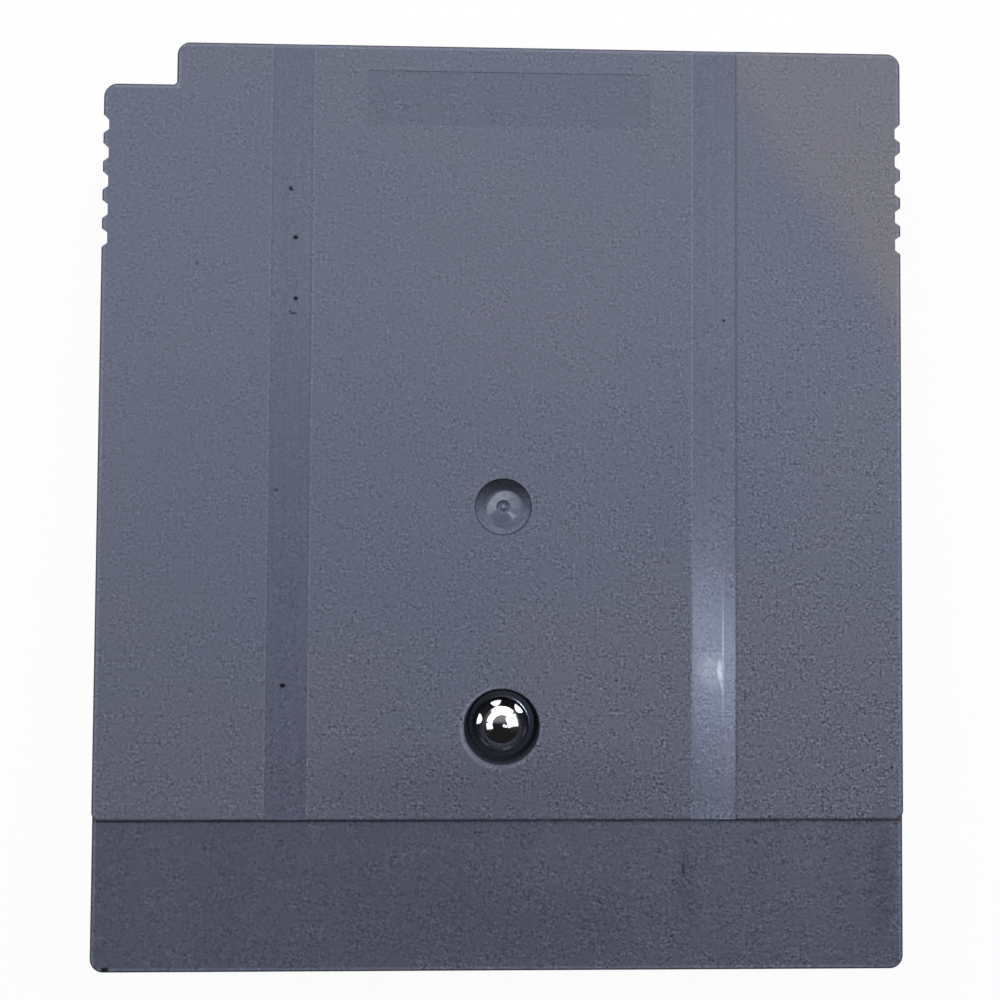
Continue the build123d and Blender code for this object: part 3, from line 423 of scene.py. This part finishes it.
def screw_nickel():
    """Bright nickel on steel: a clean mirror with small brown rust pits, its flange painted dark as shade.
    """
    material, tree, mm = start_finish("nickel_plated_steel")
    tarnish = node(tree, "TexNoise", {"Vector": mm, "Scale": 1 / TARNISH_PATCH, "Detail": 3.0})[0]
    colour = {0: tarnish, 6: linear("#dfe0e2"), 7: linear("#eaebec")}
    colour = node(tree, "Mix", colour, data_type="RGBA")[2]
    pits = node(tree, "TexNoise", {"Vector": mm, "Scale": 1 / RUST_PIT, "Detail": 2.0})[0]
    pits = node(tree, "MapRange", {"Value": pits, "From Min": 0.66, "From Max": 0.72, "To Max": 0.7})[0]
    colour = node(tree, "Mix", {0: pits, 6: colour, 7: linear("#4a4036")}, data_type="RGBA")[2]
    roughness = node(tree, "MapRange", {"Value": tarnish, "To Min": 0.02, "To Max": 0.07})[0]
    roughness = node(tree, "Math", {0: pits, 1: 0.4, 2: roughness}, operation="MULTIPLY_ADD")[0]
    # Past the dome the flange is painted near black as shade, and duller
    dome = spot(tree, mm, SCREW, (DOME_RADIUS, DOME_RADIUS), 0.02, 1.0)
    flange_shade = node(tree, "MapRange", {"Value": dome, "To Min": 0.93, "To Max": 0.0})[0]
    colour = node(tree, "Mix", {0: flange_shade, 6: colour, 7: linear("#14151c")}, data_type="RGBA")[2]
    roughness = node(tree, "Math", {0: flange_shade, 1: 0.25, 2: roughness}, operation="MULTIPLY_ADD")[0]
    surface = {"Base Color": colour, "Roughness": roughness, "Metallic": 1.0}
    return end_finish(material, tree, surface)


def label_paper():
    """Coated label paper: an off-white border, a plain printed field and a bare title strip."""
    material, tree, mm = start_finish("coated_label_paper")
    axes = node(tree, "SeparateXYZ", {"Vector": mm})
    fibre = node(tree, "TexNoise", {"Vector": mm, "Scale": 1 / PAPER_FIBRE, "Detail": 3.0})[0]
    paper = node(tree, "Mix", {0: fibre, 6: linear("#d6d2c6"), 7: linear("#dedacf")}, data_type="RGBA")[2]
    ink = node(tree, "Mix", {0: fibre, 6: linear("#51707a"), 7: linear("#587883")}, data_type="RGBA")[2]
    dark_ink = {0: fibre, 6: linear("#3b4247"), 7: linear("#434a50")}
    dark_ink = node(tree, "Mix", dark_ink, data_type="RGBA")[2]
    field = within(tree, (axes["X"], *FIELD_X), (axes["Y"], *FIELD_Y))
    strip = within(tree, (axes["X"], *FIELD_X), (axes["Y"], *STRIP_Y))
    colour = node(tree, "Mix", {0: field, 6: paper, 7: ink}, data_type="RGBA")[2]
    colour = node(tree, "Mix", {0: strip, 6: colour, 7: dark_ink}, data_type="RGBA")[2]
    bump = node(tree, "Bump", {"Height": fibre, "Distance": 0.006 * MM})[0]
    surface = {"Base Color": colour, "Roughness": 0.38, "IOR": 1.5, "Normal": bump}
    return end_finish(material, tree, surface)


def board_laminate():
    """Glass-epoxy laminate under green solder resist: glossy, with a faint woven relief."""
    material, tree, mm = start_finish("green_resist_laminate")
    thread = {"Vector": mm, "Scale": WAVE_UNIT / CLOTH_PITCH}
    warp = node(tree, "TexWave", thread, bands_direction="X")["Fac"]
    weft = node(tree, "TexWave", thread, bands_direction="Y")["Fac"]
    weave = node(tree, "Math", {0: warp, 1: weft}, operation="ADD")[0]
    cloud = node(tree, "TexNoise", {"Vector": mm, "Scale": 1 / RESIST_CLOUD})[0]
    colour = node(tree, "Mix", {0: cloud, 6: linear("#1d4a2c"), 7: linear("#27593a")}, data_type="RGBA")[2]
    bump = node(tree, "Bump", {"Height": weave, "Distance": 0.012 * MM})[0]
    surface = {"Base Color": colour, "Roughness": 0.3, "IOR": 1.53, "Normal": bump}
    return end_finish(material, tree, surface)


def contact_gold():
    """Hard gold over nickel: a warm mirror, rubbed along the way the connector slides."""
    material, tree, mm = start_finish("hard_gold_plate")
    sliding = node(tree, "VectorMath", {0: mm, 1: (1.0, 0.05, 1.0)}, operation="MULTIPLY")[0]
    rub = node(tree, "TexNoise", {"Vector": sliding, "Scale": 1 / RUBBED_LINE, "Detail": 3.0})[0]
    colour = node(tree, "Mix", {0: rub, 6: linear("#d9ac50"), 7: linear("#e6bf6c")}, data_type="RGBA")[2]
    roughness = node(tree, "MapRange", {"Value": rub, "To Min": 0.14, "To Max": 0.34})[0]
    surface = {"Base Color": colour, "Roughness": roughness, "Metallic": 1.0}
    return end_finish(material, tree, surface)


def plain_metal(name, dark, light, lump_mm, roughness):
    """A plated or rolled metal: two close tones in lumps, duller where it is lighter."""
    material, tree, mm = start_finish(name)
    lumps = node(tree, "TexNoise", {"Vector": mm, "Scale": 1 / lump_mm, "Detail": 3.0})[0]
    colour = node(tree, "Mix", {0: lumps, 6: linear(dark), 7: linear(light)}, data_type="RGBA")[2]
    spread = {"Value": lumps, "To Min": 0.7 * roughness, "To Max": 1.3 * roughness}
    spread = node(tree, "MapRange", spread)[0]
    bump = node(tree, "Bump", {"Height": lumps, "Distance": 0.01 * MM})[0]
    surface = {"Base Color": colour, "Roughness": spread, "Metallic": 1.0, "Normal": bump}
    return end_finish(material, tree, surface)


def plain_body(name, dark, light, lump_mm, roughness, ior, relief_mm):
    """A moulded, fired or glazed body: two close tones in fine lumps, with a slight relief."""
    material, tree, mm = start_finish(name)
    lumps = node(tree, "TexNoise", {"Vector": mm, "Scale": 1 / lump_mm, "Detail": 3.0})[0]
    colour = node(tree, "Mix", {0: lumps, 6: linear(dark), 7: linear(light)}, data_type="RGBA")[2]
    spread = {"Value": lumps, "To Min": 0.8 * roughness, "To Max": 1.2 * roughness}
    spread = node(tree, "MapRange", spread)[0]
    bump = node(tree, "Bump", {"Height": lumps, "Distance": relief_mm * MM})[0]
    surface = {"Base Color": colour, "Roughness": spread, "IOR": ior, "Normal": bump}
    return end_finish(material, tree, surface)


def diode_glass():
    """Red-brown diode glass with a dark band at its cathode end."""
    material, tree, mm = start_finish("diode_glass")
    low_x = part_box("steering_diode")[0].x / MM
    x = node(tree, "SeparateXYZ", {"Vector": mm})["X"]
    band = within(tree, (x, low_x + 0.25, low_x + 0.75))
    streak = node(tree, "TexNoise", {"Vector": mm, "Scale": 1 / GLASS_STREAK})[0]
    glass = node(tree, "Mix", {0: streak, 6: linear("#7a3f25"), 7: linear("#8f4f30")}, data_type="RGBA")[2]
    colour = node(tree, "Mix", {0: band, 6: glass, 7: linear("#17181a")}, data_type="RGBA")[2]
    surface = {"Base Color": colour, "Roughness": 0.12, "IOR": 1.52}
    surface.update({"Coat Weight": 0.6, "Coat Roughness": 0.05})
    return end_finish(material, tree, surface)


# Every piece gets the finish of what it is made of

tinned_copper = plain_metal("tinned_copper", "#9a9da0", "#b4b6b8", 0.5, 0.32)
solder = plain_metal("reflowed_solder", "#a3a6a9", "#bcbec0", 0.35, 0.28)
moulded_epoxy = plain_body("moulded_chip_epoxy", "#1c1d1f", "#26272a", 0.15, 0.55, 1.55, 0.012)
rolled_nickel = plain_metal("rolled_nickel_strip", "#a59f93", "#b6b0a4", 1.2, 0.3)
cell_steel = plain_metal("nickel_plated_cell_can", "#b3b3b1", "#c4c4c1", 1.6, 0.22)
fired_ceramic = plain_body("fired_capacitor_ceramic", "#9a7e5c", "#a98d69", 0.2, 0.45, 1.6, 0.006)
resistor_glaze = plain_body("resistor_glaze", "#1a2026", "#232a31", 0.3, 0.2, 1.52, 0.004)

FINISHES = {
    "rear_shell": shell_plastic("moulded_abs_rear", True),
    "front_shell": shell_plastic("moulded_abs_front", False),
    "shell_screw": screw_nickel(),
    "front_label": label_paper(),
    "circuit_board": board_laminate(),
    "edge_contacts": contact_gold(),
    "solder_lands": solder,
    "rom_chip": moulded_epoxy,
    "save_memory_chip": moulded_epoxy,
    "bank_controller_chip": moulded_epoxy,
    "power_monitor_chip": moulded_epoxy,
    "rom_leads": tinned_copper,
    "save_memory_leads": tinned_copper,
    "bank_controller_leads": tinned_copper,
    "power_monitor_leads": tinned_copper,
    "backup_cell": cell_steel,
    "cell_positive_tab": rolled_nickel,
    "cell_negative_tab": rolled_nickel,
    "rom_capacitor": fired_ceramic,
    "memory_capacitor": fired_ceramic,
    "controller_capacitor": fired_ceramic,
    "supply_capacitor": fired_ceramic,
    "capacitor_terminals": solder,
    "reset_resistor": resistor_glaze,
    "select_resistor": resistor_glaze,
    "sense_resistor": resistor_glaze,
    "cell_resistor": resistor_glaze,
    "resistor_terminals": solder,
    "steering_diode": diode_glass(),
    "diode_terminals": solder,
}

for name, finish in FINISHES.items():
    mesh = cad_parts[name].data
    mesh.materials.clear()
    mesh.materials.append(finish)


# Stage: a white floor that keeps the shadow, seen through from below

FLOOR_SIZE_M = 6.0
FLOOR_DROP_MM = 0.05
FLOOR_GLOW = 0.95


def floor_white():
    """White floor paper: bright to the eye and in reflections, lit by the lamps for the shadow."""
    material = bpy.data.materials.new("floor_paper")
    material.use_nodes = True
    tree = material.node_tree
    tree.nodes.clear()
    path = node(tree, "LightPath", {})
    seen = {0: path["Is Camera Ray"], 1: path["Is Glossy Ray"]}
    seen = node(tree, "Math", seen, operation="MAXIMUM")[0]
    seen = node(tree, "Math", {0: seen, 1: path["Is Transmission Ray"]}, operation="MAXIMUM")[0]
    share = node(tree, "Math", {0: seen, 1: FLOOR_GLOW}, operation="MULTIPLY")[0]
    paper = node(tree, "BsdfDiffuse", {"Color": linear("#f2f2f2")})[0]
    glow = node(tree, "Emission", {"Color": linear("#ffffff"), "Strength": 1.0})[0]
    white = node(tree, "MixShader", {0: share, 1: paper, 2: glow})[0]
    under = node(tree, "NewGeometry", {})["Backfacing"]
    clear = node(tree, "Math", {0: under, 1: path["Is Shadow Ray"]}, operation="MAXIMUM")[0]
    nothing = node(tree, "BsdfTransparent", {})[0]
    shown = node(tree, "MixShader", {0: clear, 1: white, 2: nothing})[0]
    node(tree, "OutputMaterial", {"Surface": shown})
    return material


bpy.ops.mesh.primitive_plane_add(size=FLOOR_SIZE_M, location=(0, 0, -FLOOR_DROP_MM * MM))
floor = bpy.context.active_object
floor.name = "floor"
floor.data.materials.append(floor_white())


# Light: windows beyond the gripped end, a bright room round the part, and a small cool lamp overhead

WHITE = (1.0, 1.0, 1.0)
FACE_MIDDLE = (0, 0, REAR_Z)
SCREW_TOP = (*SCREW, REAR_Z)
BAND_GLEAM = (15.1, -11, REAR_Z)


def around_screw(turn, tilt, distance):
    """A place seen from the screw at a turn from +X and a tilt from upright."""
    turn, tilt = radians(turn), radians(tilt)
    level = distance * sin(tilt)
    return (SCREW[0] + level * cos(turn), SCREW[1] + level * sin(turn), REAR_Z + distance * cos(tilt))


def softbox(name, place_mm, aim_mm, width_mm, height_mm, watts, colour):
    """A rectangular lamp at a place, turned towards a point on the part."""
    lamp = bpy.data.lights.new(name, "AREA")
    lamp.shape = "RECTANGLE"
    lamp.size = width_mm * MM
    lamp.size_y = height_mm * MM
    lamp.energy = watts
    lamp.color = colour
    holder = bpy.data.objects.new(name, lamp)
    holder.location = Vector(place_mm) * MM
    facing = Vector(aim_mm) - Vector(place_mm)
    holder.rotation_mode = "QUATERNION"
    holder.rotation_quaternion = facing.to_track_quat("-Z", "Y")
    holder.visible_camera = False
    scene.collection.objects.link(holder)


# Bright walls round the room, as the screw mirrors them: turn from +X, and watts
ROOM_WALLS = [(49, 0.054), (76, 0.049), (104, 0.054), (131, 0.073), (159, 0.091), (190, 0.075)]

softbox("window", (5, 95, 75), FACE_MIDDLE, 200, 50, 0.0345, WHITE)
softbox("far_window", (10, 170, 120), FACE_MIDDLE, 200, 60, 0.095, WHITE)
softbox("room_right", around_screw(15, 41, 300), SCREW_TOP, 220, 235, 0.205, WHITE)
for turn, watts in ROOM_WALLS:
    softbox(f"room_{turn}", around_screw(turn, 45, 300), SCREW_TOP, 110, 120, watts, WHITE)
softbox("lamp", (65, -41, 303), BAND_GLEAM, 30, 84, 0.056, (0.64, 0.74, 1.0))
softbox("glint", (67, -43, 303), BAND_GLEAM, 8, 8, 0.004, (0.72, 0.8, 1.0))
softbox("table_bounce", (0, 0, -260), (0, 0, 0), 300, 300, 0.38, WHITE)


# World: a dim room, light at the horizon, dark overhead and towards the open end

world = bpy.data.worlds.new("room")
scene.world = world
world.cycles.sampling_method = "NONE"
world.use_nodes = True
tree = world.node_tree
tree.nodes.clear()
direction = node(tree, "TexCoord", {})["Generated"]
axes = node(tree, "SeparateXYZ", {"Vector": direction})
lifted = {"Value": axes["Z"], "From Min": 0.06, "From Max": 0.26}
lifted = node(tree, "MapRange", lifted, interpolation_type="SMOOTHSTEP")[0]
overhead = {"Value": axes["Z"], "From Min": 0.6, "From Max": 0.85}
overhead = node(tree, "MapRange", overhead, interpolation_type="SMOOTHSTEP")[0]
toward_grips = {"Value": axes["Y"], "From Min": -0.5, "From Max": 0.7, "To Min": 0.015, "To Max": 0.12}
toward_grips = node(tree, "MapRange", toward_grips)[0]
grey_ceiling = {"Value": axes["Y"], "From Min": 0.02, "From Max": 0.25, "To Min": 0.015, "To Max": 0.25}
grey_ceiling = node(tree, "MapRange", grey_ceiling)[0]
sides = node(tree, "Mix", {0: overhead, 2: toward_grips, 3: grey_ceiling}, data_type="FLOAT")[0]
strength = node(tree, "Mix", {0: lifted, 2: 1.0, 3: sides}, data_type="FLOAT")[0]
background = node(tree, "Background", {"Color": linear("#ffffff"), "Strength": strength})[0]
node(tree, "OutputWorld", {"Surface": background})


# Camera, where the photograph was taken from: nearly square above the rear face

CAMERA_MM = Vector((-1.508, -0.802, 106.06))
AIM_MM = Vector((1.873, 3.1, REAR_Z))
UP_HINT = Vector((-0.0057, 1.0, 0.0))
view = (AIM_MM - CAMERA_MM).normalized()
right = view.cross(UP_HINT).normalized()
up = right.cross(view)
camera = bpy.data.objects.new("camera", bpy.data.cameras.new("camera"))
camera.data.lens = 50.0
camera.data.sensor_width = 36.0
camera.data.shift_x = -0.03
camera.data.shift_y = -0.04
camera.data.clip_start = 0.01
camera.data.clip_end = 20.0
turned = Matrix((right, up, -view)).transposed().to_4x4()
camera.matrix_world = Matrix.Translation(CAMERA_MM * MM) @ turned
scene.collection.objects.link(camera)
scene.camera = camera

scene.view_settings.view_transform = "Standard"
